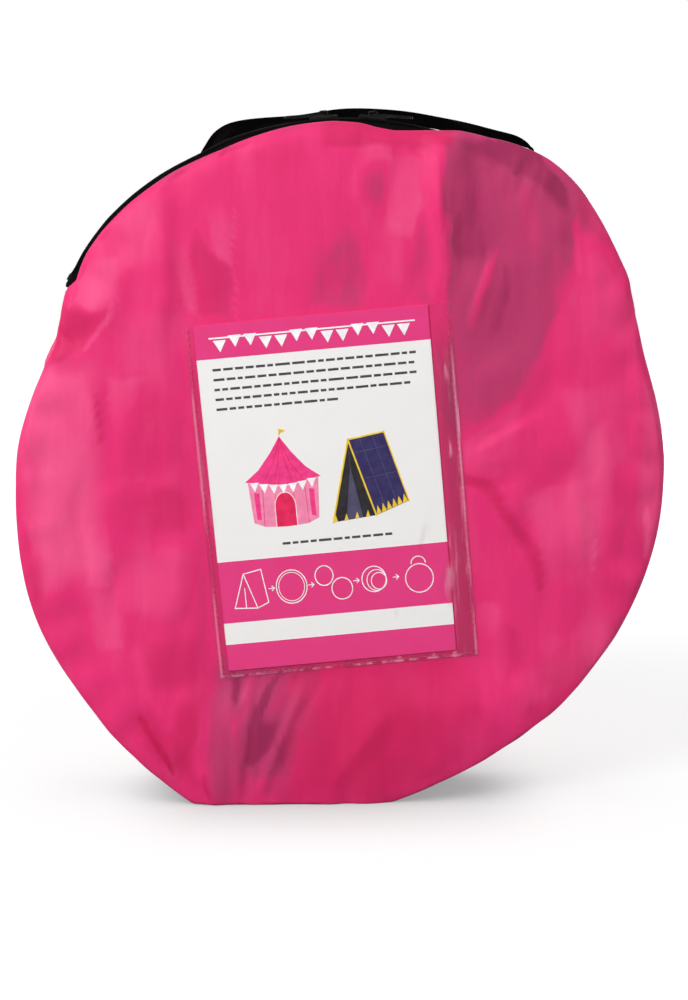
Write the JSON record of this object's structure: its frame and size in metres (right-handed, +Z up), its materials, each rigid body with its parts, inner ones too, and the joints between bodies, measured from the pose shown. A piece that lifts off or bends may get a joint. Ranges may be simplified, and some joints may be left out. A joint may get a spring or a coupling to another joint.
{
  "type": "folded pop-up play tent in its carry bag",
  "caption": "Round zipped carry bag of pink cloth that holds a folded pop-up play tent: coiled spring hoops, folded cloth and pole sections. Webbing handle, and a card in a clear pocket.",
  "frame": {"origin": "on the flat resting face at the bottom of the bag, straight below the axis of the round zip, halfway through the bag's depth", "axes": "+Z up, -Y towards the front with the pocket, +X to the viewer's right when looking at the front; the zip's round axis runs along Y"},
  "size_m": [0.4056, 0.0697, 0.4304],
  "materials": {
    "pink_cloth": "thin synthetic cloth with a soft sheen",
    "black_cloth": "dull woven cloth",
    "black_webbing": "ribbed woven webbing",
    "black_plastic": "satin moulded teeth on a woven tape",
    "bright_metal": "bright plated",
    "clear_film": "clear soft film",
    "printed_card": "coated card",
    "spring_steel": "drawn wire",
    "pale_cloth": "thin synthetic cloth",
    "white_cloth": "coated cloth",
    "white_tube": "satin"
  },
  "bodies": {
    "bag": {"front_panel": "pink_cloth", "back_panel": "pink_cloth", "side_band_lower": "pink_cloth", "side_band_top": "black_cloth", "zip_tape_rear": "black_plastic", "zip_stop_left": "bright_metal", "zip_stop_right": "bright_metal", "handle_anchor_left": "black_webbing", "handle_anchor_right": "black_webbing", "clear_pocket": "clear_film", "eave_hoop": "spring_steel", "eave_hoop_ferrule": "bright_metal", "floor_hoop": "spring_steel", "floor_hoop_ferrule": "bright_metal", "folded_roof_cloth": "pale_cloth", "folded_wall_cloth": "pale_cloth", "folded_ground_sheet": "white_cloth", "wall_pole_1_lower": "white_tube", "wall_pole_1_middle": "white_tube", "wall_pole_1_upper": "white_tube", "wall_pole_2_lower": "white_tube", "wall_pole_2_middle": "white_tube", "wall_pole_2_upper": "white_tube", "wall_pole_3_lower": "white_tube", "wall_pole_3_middle": "white_tube", "wall_pole_3_upper": "white_tube", "wall_pole_4_lower": "white_tube", "wall_pole_4_middle": "white_tube", "wall_pole_4_upper": "white_tube"},
    "flap": {"front_flap": "pink_cloth", "zip_tape_front": "black_plastic"},
    "slider_left": {"zip_slider_left": "bright_metal"},
    "slider_right": {"zip_slider_right": "bright_metal"},
    "pull_left": {"zip_pull_left": "bright_metal"},
    "pull_right": {"zip_pull_right": "bright_metal"},
    "handle": {"carry_handle": "black_webbing"},
    "card": {"info_card": "printed_card"}
  },
  "joints": [
    {"name": "flap_fold", "type": "hinge", "parent": "bag", "child": "flap", "pos_m": [0, -0.0343, 0.321], "axis": [1, 0, 0], "range_deg": [0, 150]},
    {"name": "slider_left_travel", "type": "hinge", "parent": "bag", "child": "slider_left", "pos_m": [0, 0, 0.221], "axis": [0, -1, 0], "range_deg": [0, 50]},
    {"name": "slider_right_travel", "type": "hinge", "parent": "bag", "child": "slider_right", "pos_m": [0, 0, 0.221], "axis": [0, 1, 0], "range_deg": [0, 50]},
    {"name": "pull_left_lift", "type": "hinge", "parent": "slider_left", "child": "pull_left", "pos_m": [-0.01501, -0.015, 0.42415], "axis": [0, 1, 0], "range_deg": [0, 110]},
    {"name": "pull_right_lift", "type": "hinge", "parent": "slider_right", "child": "pull_right", "pos_m": [0.01501, -0.015, 0.42415], "axis": [0, -1, 0], "range_deg": [0, 110]},
    {"name": "handle_sway", "type": "hinge", "parent": "bag", "child": "handle", "pos_m": [-0.09189, 0.01, 0.40134], "axis": [0.999, 0, -0.0436], "range_deg": [-10, 10], "stiffness_Nm_per_rad": 0.03},
    {"name": "card_slide", "type": "slide", "parent": "bag", "child": "card", "axis": [0.0906, 0, -0.9959], "range_m": [-0.19, 0]}
  ]
}
